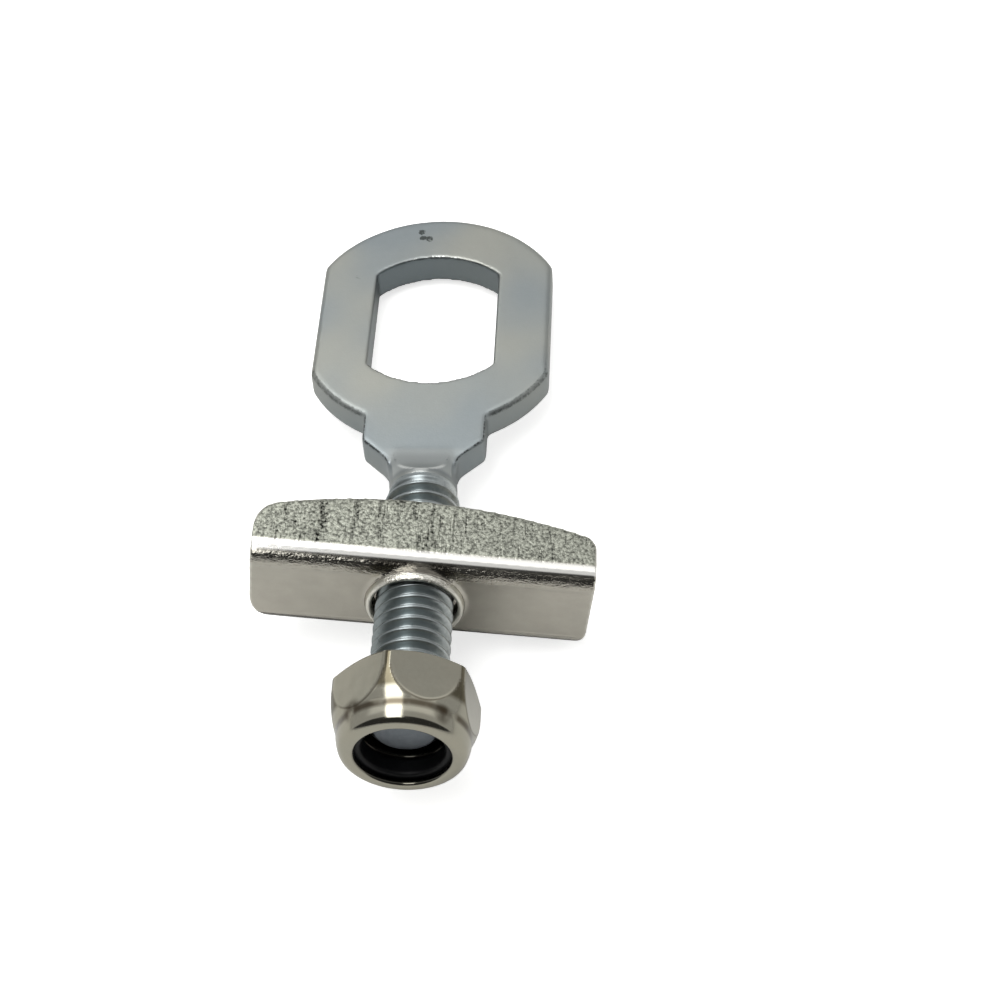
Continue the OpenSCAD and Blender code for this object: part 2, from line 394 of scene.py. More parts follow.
def neighbour_mean(values, edges):
    """The mean of each point's neighbours."""
    size = len(values)
    near, far = edges[:, 0], edges[:, 1]
    count = np.bincount(edges.ravel(), minlength=size)
    columns = [
        np.bincount(near, column[far], size) + np.bincount(far, column[near], size)
        for column in values.T
    ]
    return np.stack(columns, 1) / np.maximum(count, 1)[:, None]


def relax(points, edges, rounds, share):
    """Rounds edges off, and leaves flats flat; share may differ from point to point."""
    for _ in range(rounds):
        points = points + share * (neighbour_mean(points, edges) - points)
    return points


def read_normals(mesh):
    normals = np.empty(len(mesh.vertices) * 3)
    mesh.vertices.foreach_get("normal", normals)
    return normals.reshape(-1, 3)


def ridges(before, normals, edges, rounds=6):
    """How far a point stands proud of its neighbourhood: high along outside edges."""
    after = relax(before, edges, rounds, 0.5)
    return ((before - after) * normals).sum(1)


def keep_value(mesh, name, values):
    """Stores a value on each point of a mesh."""
    made = mesh.attributes.new(name, "FLOAT", "POINT")
    made.data.foreach_set("value", np.ascontiguousarray(values, dtype=np.float32))


def settle(piece, points, material):
    """Writes points in millimetres back in metres, and smooths and paints the piece."""
    mesh = piece.data
    mesh.vertices.foreach_set("co", (points * MM).ravel())
    mesh.materials.clear()
    mesh.materials.append(material)
    shade_smooth(mesh)
    mesh.update()


def ripple(points, size, seed):
    """Smooth noise from -1 to 1 at each point, with lumps of about size millimetres."""
    shift = Vector((seed, seed * 1.7, seed * 2.3))
    return np.array([noise.noise(Vector(p) / size + shift) for p in points])


def soft_lower(one, other, blend):
    """The lower of two values, with a rounded corner between them."""
    mixed = np.clip(blend - np.abs(one - other), 0, None) / blend
    return np.minimum(one, other) - mixed**2 * blend / 4


def arc(middle, radius, start, end, count):
    """Points on an arc, in the plane of radius and height; angles are in degrees."""
    angles = np.radians(np.linspace(start, end, count))
    return [(middle[0] + radius * math.cos(a), middle[1] + radius * math.sin(a)) for a in angles]


def spread(corners, gap):
    """Points along a chain of corners, no further apart than gap."""
    made = []
    for (r0, h0), (r1, h1) in zip(corners, corners[1:]):
        count = max(1, math.ceil(math.hypot(r1 - r0, h1 - h0) / gap))
        made += [(r0 + (r1 - r0) * k / count, h0 + (h1 - h0) * k / count) for k in range(count)]
    return made


def soften(points, first, last, rounds):
    """Rounds a crease in a chain of points, between two of them."""
    chain = np.array(points)
    for _ in range(rounds):
        inner = (chain[first - 1 : last - 1] + chain[first + 1 : last + 1]) / 2
        chain[first:last] += 0.5 * (inner - chain[first:last])
    return [tuple(point) for point in chain]


def turned(name, profile, sides, trim=None):
    """A closed profile turned about the shank's axis; trim may cut the radius by angle."""
    radius = np.array([p[0] for p in profile])[:, None]
    height = np.array([p[1] for p in profile])[:, None]
    angle = np.linspace(0, 2 * math.pi, sides, endpoint=False)[None, :]
    wide = radius + 0 * angle
    if trim is not None:
        wide = trim(wide, angle)
    grid = np.stack(
        [wide * np.cos(angle), -NUT_REACH - height + 0 * angle, wide * np.sin(angle)], -1
    ).reshape(-1, 3)
    rows, faces = len(profile), []
    for row in range(rows):
        after = (row + 1) % rows
        for side in range(sides):
            beside = (side + 1) % sides
            near, far = row * sides, after * sides
            faces.append((near + side, near + beside, far + beside, far + side))
    mesh = bpy.data.meshes.new(name)
    mesh.from_pydata(grid.tolist(), [], faces)
    face_outwards(mesh)
    return show(name, mesh)


# Finishes


def zinc_finish(look):
    """Satin blue-white zinc over a forging."""
    zinc = Finish("zinc_steel")
    edge = zinc.attribute("edge")
    broad = zinc.cloud(9.0, detail=1.0, seed=2.0)
    mottle = zinc.cloud(0.5, detail=3.0, rough=0.6, seed=5.0)
    grain = zinc.cloud(0.16, detail=2.0, rough=0.6, seed=1.0)
    base = zinc.mix(zinc.step(broad, 0.3, 0.7), tone(*look.cool), tone(*look.warm))
    base = zinc.shade(base, 0.96 + mottle * 0.08)
    # painted shade: the hole's wall is darker and bluer
    inside = zinc.step(abs(zinc.x), HOLE_ACROSS, HOLE_ACROSS - 0.4)
    inside = inside * zinc.step(abs(zinc.y), HOLE_ALONG, HOLE_ALONG - 0.4)
    inside = inside * zinc.step(abs(zinc.z), HALF_PLATE + 0.01, HALF_PLATE - 0.15)
    base = zinc.mix(inside * 0.75, base, tone(*HOLE_WALL_SHADE))
    # painted shade: the neck darkens towards its crest, and the plain shank past it is light
    neck = zinc.between(zinc.y, -18.3, -17.8, -17.4, -14.2)
    base = zinc.mix(neck * 0.42, base, tone(*NECK_SHADE))
    # painted light: the hollow before the crest is paler
    hollow = zinc.between(zinc.y, -17.9, -17.4, -15.0, -14.4)
    hollow = hollow * zinc.step(abs(zinc.x), 3.6, 2.4) * zinc.step(zinc.z, 1.3, 1.4)
    base = zinc.mix(hollow * 0.5, base, tone(*NECK_HOLLOW_LIGHT))
    # pits and faint spots
    pits = zinc.spot((-1.75, 10.55, HALF_PLATE), 0.34)
    for place, size, weight in look.pits():
        pits = pits.upper_of(zinc.spot(place, size) * weight)
    ragged = zinc.cloud(0.3, detail=3.0, rough=0.7, seed=8.5)
    pits = zinc.step(pits * (ragged * 3.2 - 0.95), 0.2, 0.55)
    base = zinc.mix(pits * 0.85, base, tone(*PIT))
    # a torn line along the near edges of the eye and the neck's shoulders, darkened with painted
    # shade below the torn step
    near = zinc.step(zinc.y, -4.5, -6.5) * zinc.step(zinc.z, 0.6, 0.9)
    torn = zinc.cloud(0.3, detail=3.0, rough=0.7, seed=11.0)
    before_crest = zinc.step(zinc.y, -16.6, -15.8)
    torn_shade = near * before_crest * zinc.step(edge, 0.2, 0.7) * zinc.step(torn, 0.39, 0.57)
    base = zinc.mix(torn_shade * 0.85, base, tone(*TORN_EDGE_SHADE))
    # the crest of the neck and bits of the hole's far edge catch the light
    crest = zinc.step(edge, 0.15, 0.5) * zinc.step(zinc.y, -16.6, -17.2)
    flash = zinc.step(abs(zinc.x + 0.4), 2.6, 2.2) * zinc.between(zinc.y, 6.8, 7.1, 7.8, 8.2)
    bright = crest * 0.7 + flash * zinc.step(edge, 0.3, 0.7) * zinc.step(torn, 0.52, 0.6)
    base = zinc.mix(bright, base, tone(*EDGE_GLINT))
    rough = look.roughness + mottle * 0.1 - bright * 0.1
    fine = zinc.bump(grain, 0.012, 0.6)
    wave = zinc.node(
        "ShaderNodeBump",
        inputs={
            "Strength": 0.5,
            "Distance": 0.05 * MM,
            "Height": torn * (near * before_crest * zinc.step(edge, 0.1, 0.5) * 0.9 + 0.1),
            "Normal": fine,
        },
    )
    return zinc.close(colour=base, metal=0.92, rough=rough, normal=Flow(zinc.tree, wave.outputs[0]))


def thread_finish(look):
    """The same zinc on the rolled thread: dark blue roots, and a painted highlight on the crests.
    """
    steel = Finish("zinc_thread")
    crest = steel.attribute("crest")
    patch = steel.cloud(2.2, detail=2.0, seed=3.0)
    speck = steel.cloud(0.35, detail=3.0, rough=0.65, seed=7.0)
    # painted highlight on the thread's crests, broken up by specks
    crest_glint = steel.step(crest + speck * 0.3, 0.7, 1.15)
    base = steel.mix(crest_glint, tone(*look.root), tone(*look.crest))
    base = steel.shade(base, 0.75 + patch * 0.5)
    base = steel.mix(steel.step(speck, 0.55, 0.75) * 0.4, base, tone(*THREAD_STAIN))
    # the sawn end is dull, with faint rings
    end = steel.step(steel.y, 0.2 - SHANK_REACH, 0.05 - SHANK_REACH)
    rings = steel.wave_rings(0.7) * steel.step(patch, 0.45, 0.7)
    sawn = steel.shade(tone(*look.end), 0.78 + rings * 0.25 + speck * 0.45)
    base = steel.mix(end, base, sawn)
    rough = 0.24 + speck * 0.16 + end * 0.2
    return steel.close(colour=base, metal=0.92, rough=rough, normal=steel.bump(speck, 0.02, 0.5))


def sheet_finish(look):
    """Warm nickel on the pressed sheet: grainy flanges, a painted highlight on the upper fold,
    painted shade on the lower fold and a smooth web.
    """
    sheet = Finish("nickel_sheet", turn=-BRACKET_TURN)
    edge = sheet.attribute("edge")
    # the flanges, the folds, the web between them and the burr round the hole
    top = sheet.step(abs(sheet.z), 3.9, 4.1) * sheet.step(sheet.y, -27.5, -27.1)
    fold = sheet.step(abs(sheet.z), 2.5, 2.8) * (1.0 - top)
    web = (1.0 - top) * (1.0 - fold)
    burr = sheet.step(sheet.y, -28.95, -29.1) * (1.0 - sheet.step(abs(sheet.x), 6.0, 6.4))
    # the web is smooth and a little cloudy
    haze = sheet.cloud(6.0, detail=2.0, seed=12.0)
    cloudy = sheet.cloud(1.8, detail=3.0, rough=0.6, seed=15.0)
    plain = sheet.mix(haze, tone(*look.web), tone(*look.warm))
    plain = sheet.shade(plain, 0.84 + cloudy * 0.32)
    # the flanges are grainy, with dark lines and bands along the shank
    grit = sheet.cloud(0.24, detail=3.0, rough=0.75, seed=2.0)
    streak = sheet.cloud(0.5, detail=3.0, rough=0.6, seed=6.0, stretch=(1.0, 0.12, 0.3))
    wide = sheet.cloud(2.6, detail=1.0, seed=9.0, stretch=(1.0, 0.1, 0.3))
    grain = sheet.step(grit, 0.34, 0.66)
    lines = sheet.step(streak, 0.52, 0.66)
    bands = sheet.step(wide, 0.56, 0.7)
    flange = sheet.shade(tone(*look.flange), 0.3 + grain * 1.2 - lines * 0.4 - bands * 0.26)
    base = sheet.mix(top, plain, flange)
    # painted highlight along the sheet's outside edges
    base = sheet.mix(sheet.step(edge, 0.2, 0.7) * 0.6, base, tone(*SHEET_EDGE_GLINT))
    # painted highlight on the upper fold, and painted shade on the lower one
    upper_fold = sheet.step(sheet.z, 3.8, 3.95) * sheet.between(sheet.y, -28.3, -28.0, -27.5, -27.2)
    base = sheet.mix(upper_fold, base, tone(*FOLD_GLINT))
    low = sheet.step(sheet.z + sheet.x * 0.0133, -3.02, -3.18) * sheet.step(sheet.y, -27.3, -27.8)
    base = sheet.mix(low * 0.85, base, tone(*FOLD_SHADE))
    # painted shade on the web above the burr
    above = sheet.between(sheet.z, 2.9, 3.3, 3.8, 4.0)
    above = above * sheet.between(sheet.y, -29.0, -28.85, -27.7, -27.4)
    above = above * sheet.step(abs(sheet.x + 0.4), 3.6, 2.6)
    base = sheet.mix(above * 0.8, base, tone(*BURR_SHADE))
    # painted highlight: the burr round the hole is bright
    base = sheet.mix(burr * 0.8, base, tone(*look.burr))
    rough = web * (look.roughness + haze * 0.08) + fold * 0.12 + top * (0.3 + grit * 0.16)
    # the burr and the underside of the upper fold are wrinkled
    peel = sheet.cloud(0.34, detail=3.0, rough=0.65, seed=4.0, stretch=(0.55, 1.5, 1.5))
    wrinkled = burr + fold * sheet.step(sheet.z, 3.92, 3.62) * 1.5
    worked = top * (grit * 0.9 - lines * 0.5 - bands * 0.3)
    made = sheet.bump(wrinkled * peel + worked + web * haze * 0.1, 0.06, 0.9)
    return sheet.close(colour=base, metal=1.0, rough=rough + burr * 0.15, normal=made)


def nut_finish(look):
    """Glossy warm nickel on the nut, with painted brown reflections along its creases and painted
    shade in its bore.
    """
    nickel = Finish("nickel_nut")
    haze = nickel.cloud(3.5, detail=2.0, seed=3.0)
    grit = nickel.cloud(0.3, detail=3.0, rough=0.6, seed=5.0)
    reflection_breakup = nickel.cloud(1.4, detail=2.0, seed=6.0, stretch=(1.0, 0.6, 1.0))
    base = nickel.mix(haze, tone(*look.cool), tone(*look.warm))
    base = nickel.shade(base, 0.94 + grit * 0.1)
    line = nickel.attribute("crease")
    brown_reflection = line * nickel.step(reflection_breakup, 0.25, 0.5)
    base = nickel.mix(brown_reflection * 0.85, base, tone(*look.brown_reflection))
    # painted dark reflections on both sides of the collar, above the shank's axis
    side_reflections = nickel.spot((-3.4, -41.1, 3.4), 0.75).upper_of(nickel.spot((3.1, -41.5, 3.7), 0.6))
    side_reflections = side_reflections * nickel.step(reflection_breakup, 0.3, 0.6)
    base = nickel.mix(side_reflections * 0.85, base, tone(*look.brown_reflection))
    # painted shade on the turned corners between the flats, with streaks
    streaky = nickel.cloud(0.35, detail=2.0, seed=13.0, stretch=(1.0, 0.1, 1.0))
    strip = nickel.attribute("strip")
    base = nickel.mix(strip, base, nickel.shade(tone(*NUT_CORNER_SHADE), 0.6 + streaky * 0.8))
    # painted shade in the nut's bore
    bore = nickel.step(nickel.from_axis(), 3.6, 3.42)
    base = nickel.mix(bore * 0.9, base, tone(*BORE_SHADE))
    wave = nickel.cloud(1.6, detail=1.0, seed=8.0)
    rough = look.roughness + grit * 0.07
    return nickel.close(
        colour=base, metal=1.0, rough=rough, normal=nickel.bump(wave * 0.8 + grit * 0.1, 0.03, 0.6)
    )


def ring_finish(look):
    """Glossy black locking ring."""
    plastic = Finish("black_nylon")
    grit = plastic.cloud(0.4, detail=2.0, seed=1.0)
    base = plastic.mix(grit, tone(*look.colour), tone(*RING_SPECK))
    return plastic.close(
        colour=base,
        metal=0.0,
        specular=0.2,
        rough=look.roughness + grit * 0.08,
        normal=plastic.bump(grit, 0.01, 0.4),
    )


# Sizes and colours to change


def colour_property(name, description, default):
    return bpy.props.IntVectorProperty(
        name=name, description=description, size=3, min=0, max=255, default=default
    )


class ForgingLook(bpy.types.PropertyGroup):
    """The eye bolt's forged head."""

    cell: bpy.props.FloatProperty(
        name="Mesh size",
        description="Size of the forging's mesh cells, in millimetres",
        default=0.15,
    )
    rounding: bpy.props.IntProperty(
        name="Edge rounding", description="Rounds of smoothing along the edges", default=7
    )
    lean: bpy.props.FloatProperty(
        name="Lean", description="Sideways set of the eye, in millimetres", default=-0.11
    )
    roughness: bpy.props.FloatProperty(
        name="Roughness", description="Roughness of the zinc", default=0.36, subtype="FACTOR"
    )
    cool: colour_property("Cool zinc", "Cooler shade of the zinc", (136, 143, 145))
    warm: colour_property("Warm zinc", "Warmer shade of the zinc", (154, 155, 148))

    def pits(self):
        """Place, radius and weight of the marks in the plate's upper face."""
        return (
            ((-1.6, 9.8, HALF_PLATE), 0.3, 1.0),
            ((-1.05, 9.7, HALF_PLATE), 0.34, 1.0),
            ((-7.0, 4.8, HALF_PLATE), 0.45, 0.35),
        )


class ThreadLook(bpy.types.PropertyGroup):
    """The rolled thread."""

    pitch: bpy.props.FloatProperty(
        name="Pitch", description="Thread pitch, in millimetres", default=1.0
    )
    depth: bpy.props.FloatProperty(
        name="Depth", description="Depth of the thread, in millimetres", default=0.56
    )
    phase: bpy.props.FloatProperty(
        name="Phase",
        description="Shift of the crests along the shank, in millimetres",
        default=-0.44,
    )
    root: colour_property("Root", "Colour between the crests", (138, 145, 146))
    # the crest colour is a painted highlight
    crest: colour_property("Crest", "Colour on the crests", (232, 235, 232))
    end: colour_property("End", "Colour of the sawn end", (138, 144, 150))


class SheetLook(bpy.types.PropertyGroup):
    """The pressed end bracket."""

    cell: bpy.props.FloatProperty(
        name="Mesh size", description="Size of the sheet's mesh cells, in millimetres", default=0.13
    )
    rounding: bpy.props.IntProperty(
        name="Edge rounding", description="Rounds of smoothing along the edges", default=6
    )
    roughness: bpy.props.FloatProperty(
        name="Roughness", description="Roughness of the smooth web", default=0.2, subtype="FACTOR"
    )
    web: colour_property("Web", "Colour of the smooth web", (170, 168, 158))
    warm: colour_property("Warm web", "Warmer shade of the web", (178, 173, 163))
    flange: colour_property("Flange", "Colour of the grainy flanges", (154, 156, 145))
    # the burr's colour is a painted highlight
    burr: colour_property("Burr", "Colour of the bright rim round the hole", (232, 230, 220))


class NutLook(bpy.types.PropertyGroup):
    """The domed hexagon nut."""

    sides: bpy.props.IntProperty(name="Sides", description="Steps round the nut", default=288)
    blend: bpy.props.FloatProperty(
        name="Corner softness",
        description="Rounding between flats and corners, in millimetres",
        default=0.1,
    )
    roughness: bpy.props.FloatProperty(
        name="Roughness", description="Roughness of the nickel", default=0.1, subtype="FACTOR"
    )
    cool: colour_property("Cool nickel", "Cooler shade of the nickel", (156, 155, 143))
    warm: colour_property("Warm nickel", "Warmer shade of the nickel", (163, 158, 143))
    # the colour of the painted brown reflections
    brown_reflection: colour_property("Brown", "Colour along the creases", (62, 52, 38))


class RingLook(bpy.types.PropertyGroup):
    """The locking ring."""

    roughness: bpy.props.FloatProperty(
        name="Roughness", description="Roughness of the ring", default=0.42, subtype="FACTOR"
    )
    colour: colour_property("Colour", "Colour of the ring", (6, 6, 7))


class StageLook(bpy.types.PropertyGroup):
    """Floor, lamps, surroundings and camera."""

    softbox: bpy.props.FloatProperty(
        name="Soft box", description="Power of the overhead soft box, in watts", default=1.4
    )
    surround: bpy.props.FloatProperty(
        name="Surroundings", description="Strength of the surroundings", default=0.62
    )
    lens: bpy.props.FloatProperty(
        name="Lens", description="Focal length, in millimetres", default=73.41
    )
    floor: colour_property("Floor", "Colour of the floor", (232, 232, 230))


# Pieces


class TENSIONER_OT_eye_bolt(bpy.types.Operator):
    """Builds the forged eye, neck and plain shank"""

    bl_idname = "tensioner.eye_bolt"
    bl_label = "Eye bolt forging"

    def execute(self, context):
        look = context.scene.tensioner_forging
        piece = remeshed_copy("eye_bolt", "eye_bolt_forging", look.cell, -THREAD_START + 0.15)
        mesh = piece.data
        edges = read_edges(mesh)
        points = read_points(mesh)
        proud = ridges(points, read_normals(mesh), edges)
        # the punched hole keeps crisper edges than the forged rim
        across, along = np.abs(points[:, 0]), np.abs(points[:, 1])
        in_hole = (across < HOLE_ACROSS + 0.1) & (along < HOLE_ALONG + 0.15)
        share = np.where(in_hole, 0.25, 0.6)[:, None]
        points = relax(points, edges, look.rounding, share)
        # the plate isn't quite flat, and leans a little to the left
        points[:, 2] += 0.012 * ripple(points, 5.0, 3.0)
        near_edge = np.clip(proud / 0.06, 0, 1)
        points[:, 2] += 0.03 * near_edge * ripple(points, 0.9, 7.0)
        blend = np.clip((points[:, 1] + 18.0) / 2.5, 0, 1)
        points[:, 0] += (look.lean + 0.0077 * points[:, 1]) * blend
        keep_value(mesh, "edge", near_edge)
        settle(piece, points, zinc_finish(look))
        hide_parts("eye_bolt")
        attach(piece, "bolt")
        return {"FINISHED"}


def thread_tree():
    """A node tree that wraps a grid round the shank and raises a helical thread on it."""
    tree = bpy.data.node_groups.new("rolled_thread", "GeometryNodeTree")
    board = Board(tree)
    tree.interface.new_socket(name="Geometry", in_out="INPUT", socket_type="NodeSocketGeometry")
    floats = ("Pitch", "Depth", "Phase", "Crest Radius", "Plain Radius", "Start", "End", "Bevel")
    for name in floats:
        tree.interface.new_socket(name=name, in_out="INPUT", socket_type="NodeSocketFloat")
    for name in ("Rows", "Sides"):
        tree.interface.new_socket(name=name, in_out="INPUT", socket_type="NodeSocketInt")
    tree.interface.new_socket(name="Material", in_out="INPUT", socket_type="NodeSocketMaterial")
    tree.interface.new_socket(name="Geometry", in_out="OUTPUT", socket_type="NodeSocketGeometry")
    given = board.node("NodeGroupInput")
    size = {name: Flow(tree, given.outputs[name]) for name in floats}
    grid = board.flow(
        "GeometryNodeMeshGrid",
        inputs={
            "Size X": 1.0,
            "Size Y": 1.0,
            "Vertices X": Flow(tree, given.outputs["Rows"]),
            "Vertices Y": Flow(tree, given.outputs["Sides"]),
        },
    )
    spot = board.node(
        "ShaderNodeSeparateXYZ", inputs={0: board.flow("GeometryNodeInputPosition")}
    )
    along = Flow(tree, spot.outputs[0]) + 0.5
    turn = Flow(tree, spot.outputs[1]) + 0.5
    # the first rows close the tube's start, and the last ones are its end face
    start_close = (along / START_ROWS).clamped()
    end_close = ((1.0 - along) / END_ROWS).clamped()
    run = ((along - START_ROWS) / (1.0 - START_ROWS - END_ROWS)).clamped()
    reach = size["Start"] + (size["End"] - size["Start"]) * run
    tooth = abs(((reach + size["Phase"]) / size["Pitch"] + turn).part() * 2.0 - 1.0)
    tooth = board.step(tooth, 0.12, 0.9)
    started = board.step(reach - size["Start"], 0.1, 1.3)
    lift = tooth * started
    # before the thread starts, the tube lies just inside the plain shank
    inset = size["Crest Radius"] - size["Plain Radius"]
    root = size["Crest Radius"] - size["Depth"] * started - (1.0 - started) * inset
    radius = root + lift * size["Depth"]
    limit = size["Crest Radius"] - (size["Bevel"] - (size["End"] - reach)).upper_of(0.0)
    radius = radius.lower_of(limit) * start_close * end_close
    angle = turn * (2 * math.pi)
    place = board.flow(
        "ShaderNodeCombineXYZ",
        inputs={0: angle.sine() * radius * MM, 1: reach * -MM, 2: angle.cosine() * radius * MM},
    )
    moved = board.flow("GeometryNodeSetPosition", inputs={"Geometry": grid, "Position": place})
    kept = board.flow(
        "GeometryNodeStoreNamedAttribute",
        {"data_type": "FLOAT", "domain": "POINT"},
        {"Geometry": moved, "Name": "crest", "Value": lift},
    )
    joined = board.flow("GeometryNodeMergeByDistance", inputs={"Geometry": kept, "Distance": 1e-6})
    real = board.flow("GeometryNodeRealizeInstances", inputs={"Geometry": joined})
    painted = board.flow(
        "GeometryNodeSetMaterial",
        inputs={"Geometry": real, "Material": Flow(tree, given.outputs["Material"])},
    )
    board.node("NodeGroupOutput", inputs={"Geometry": painted})
    return tree


class TENSIONER_OT_thread(bpy.types.Operator):
    """Rolls the thread along the shank"""

    bl_idname = "tensioner.thread"
    bl_label = "Shank thread"

    def execute(self, context):
        look = context.scene.tensioner_thread
        piece = show("shank_thread", bpy.data.meshes.new("shank_thread"))
        roll = piece.modifiers.new("roll", "NODES")
        roll.node_group = thread_tree()
        values = {
            "Pitch": look.pitch,
            "Depth": look.depth,
            "Phase": look.phase,
            "Crest Radius": THREAD_RADIUS,
            "Plain Radius": PLAIN_RADIUS - 0.02,
            "Start": THREAD_START - 0.5,
            "End": SHANK_REACH,
            "Bevel": 0.7,
            "Rows": 480,
            "Sides": 85,
            "Material": thread_finish(look),
        }
        for item in roll.node_group.interface.items_tree:
            if item.in_out == "INPUT" and item.name in values:
                roll[item.identifier] = values[item.name]
        make_plain(piece)
        face_outwards(piece.data)
        shade_smooth(piece.data)
        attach(piece, "bolt")
        return {"FINISHED"}


class TENSIONER_OT_end_bracket(bpy.types.Operator):
    """Builds the pressed end bracket with the burr round its hole"""

    bl_idname = "tensioner.end_bracket"
    bl_label = "End bracket"

    def execute(self, context):
        look = context.scene.tensioner_sheet
        piece = remeshed_copy("end_bracket", "end_bracket_sheet", look.cell)
        mesh = piece.data
        edges = read_edges(mesh)
        points = read_points(mesh)
        proud = ridges(points, read_normals(mesh), edges)
        points = relax(points, edges, look.rounding, 0.55)
        points[:, 1] += 0.012 * ripple(points, 4.0, 5.0)
        keep_value(mesh, "edge", np.clip(proud / 0.06, 0, 1))
        settle(piece, points, sheet_finish(look))
        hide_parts("end_bracket")
        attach(piece, "bracket")
        return {"FINISHED"}


def nut_profile():
    """The nut's outline in radius and height over its rear face, closed on itself."""
    bore, mouth = BORE_RADIUS, 0.4
    corner, shoulder, shoulder_start, shoulder_end = 5.525, 5.5, 1.4, 28.4
    bulge, bulge_middle, bulge_start, collar_start = 3.6, 1.26, 0.9, 4.0
    rim, opening, lip = 0.8, 3.45, 0.25
    seat, seat_start, seat_end = 4.1, 3.8, 5.3
    rise = NUT_HEIGHT - rim - collar_start
    rim_middle = bulge_middle + math.sqrt((bulge - rim) ** 2 - rise**2)
    lean = math.degrees(math.asin(rise / (bulge - rim)))
    rear = NUT_APOTHEM - 0.1
    bevel = (corner - rear) * math.tan(math.radians(30))
    outside = [(bore + mouth, 0.0), (rear, 0.0), (corner, bevel), (corner, shoulder_start)]
    points = spread(outside, 0.09)
    points += arc((corner - shoulder, shoulder_start), shoulder, 0, shoulder_end, 44)
    # the crease between the shoulder and the collar
    crease = len(points)
    points += arc((bulge_middle, collar_start), bulge, bulge_start, lean, 20)[:-1]
    points = soften(points, crease - 7, crease + 7, 14)
    points += arc((rim_middle, NUT_HEIGHT - rim), rim, lean, 90, 14)
    points += arc((opening + lip, NUT_HEIGHT - lip), lip, 90, 180, 8)
    inside = [
        (opening, NUT_HEIGHT - lip - 0.02),
        (opening, seat_end),
        (seat, seat_end),
        (seat, seat_start),
        (bore, seat_start),
        (bore, mouth),
        (bore + mouth, 0.0),
    ]
    return points + spread(inside, 0.3)


def flat_reach(angle):
    """How far from the shank's axis the nearest flat's plane lies, in each direction."""
    sixth = math.pi / 3
    off = np.mod(angle - math.radians(90 - NUT_TURN) + sixth / 2, sixth) - sixth / 2
    return NUT_APOTHEM / np.cos(off)


class TENSIONER_OT_locking_nut(bpy.types.Operator):
    """Turns the nut's domed body and trims it to its six flats"""

    bl_idname = "tensioner.locking_nut"
    bl_label = "Locking nut"

    def execute(self, context):
        look = context.scene.tensioner_nut

        def trim(radius, angle):
            return soft_lower(radius, flat_reach(angle), look.blend)

        profile = nut_profile()
        piece = turned("nut_shell", profile, look.sides, trim)
        points = read_points(piece.data)
        radius, height = (np.repeat(column, look.sides) for column in np.array(profile).T)
        flat = flat_reach(np.arctan2(points[:, 2], points[:, 0]))
        # where a flat's edge or the collar's crease gets a painted brown reflection
        flat_edge = np.clip(1 - np.abs(radius - flat) / 0.05, 0, 1)
        collar = np.clip(1.4 - np.abs(height - 4.3) / 0.3, 0, 1)
        shoulder = (height > 1.6) & (height < 4.7) & (radius > 4.6)
        keep_value(piece.data, "crease", np.where(shoulder, np.maximum(flat_edge, collar), 0))
        # the turned corners that get painted shade, fading out towards the collar
        corner = (height < 5.0) & (radius > 4.86) & (radius <= flat - 0.02)
        fade = np.clip((3.35 - height) / 0.35, 0, 1)
        keep_value(piece.data, "strip", np.where(corner, fade, 0))
        settle(piece, points, nut_finish(look))
        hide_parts("nut_body")
        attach(piece, "nut")
        return {"FINISHED"}


class TENSIONER_OT_locking_ring(bpy.types.Operator):
    """Turns the locking ring that sits in the nut's mouth"""

    bl_idname = "tensioner.locking_ring"
    bl_label = "Locking ring"

    def execute(self, context):
        look = context.scene.tensioner_ring
        inner, outer, round_off = BORE_RADIUS, 4.05, 0.3
        profile = spread([(outer, RING_END), (outer, RING_START), (inner, RING_START)], 0.2)
        profile += spread([(inner, RING_START), (inner, RING_END - round_off)], 0.2)
        profile += arc((inner + round_off, RING_END - round_off), round_off, 180, 90, 8)
        profile += spread([(inner + round_off + 0.1, RING_END), (outer, RING_END)], 0.1)
        piece = turned("locking_ring_insert", profile, 192)
        settle(piece, read_points(piece.data), ring_finish(look))
        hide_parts("locking_ring")
        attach(piece, "ring")
        return {"FINISHED"}


# Stage


def camera_axes(azimuth, elevation, roll):
    """Right, up and back of a camera; azimuth 0 looks along +Y."""
    back = Vector(
        (
            math.sin(azimuth) * math.cos(elevation),
            -math.cos(azimuth) * math.cos(elevation),
            math.sin(elevation),
        )
    )
    right = (-back).cross(Vector((0, 0, 1))).normalized()
    up = right.cross(-back)
    turned_right = math.cos(roll) * right + math.sin(roll) * up
    turned_up = -math.sin(roll) * right + math.cos(roll) * up
    return turned_right, turned_up, back


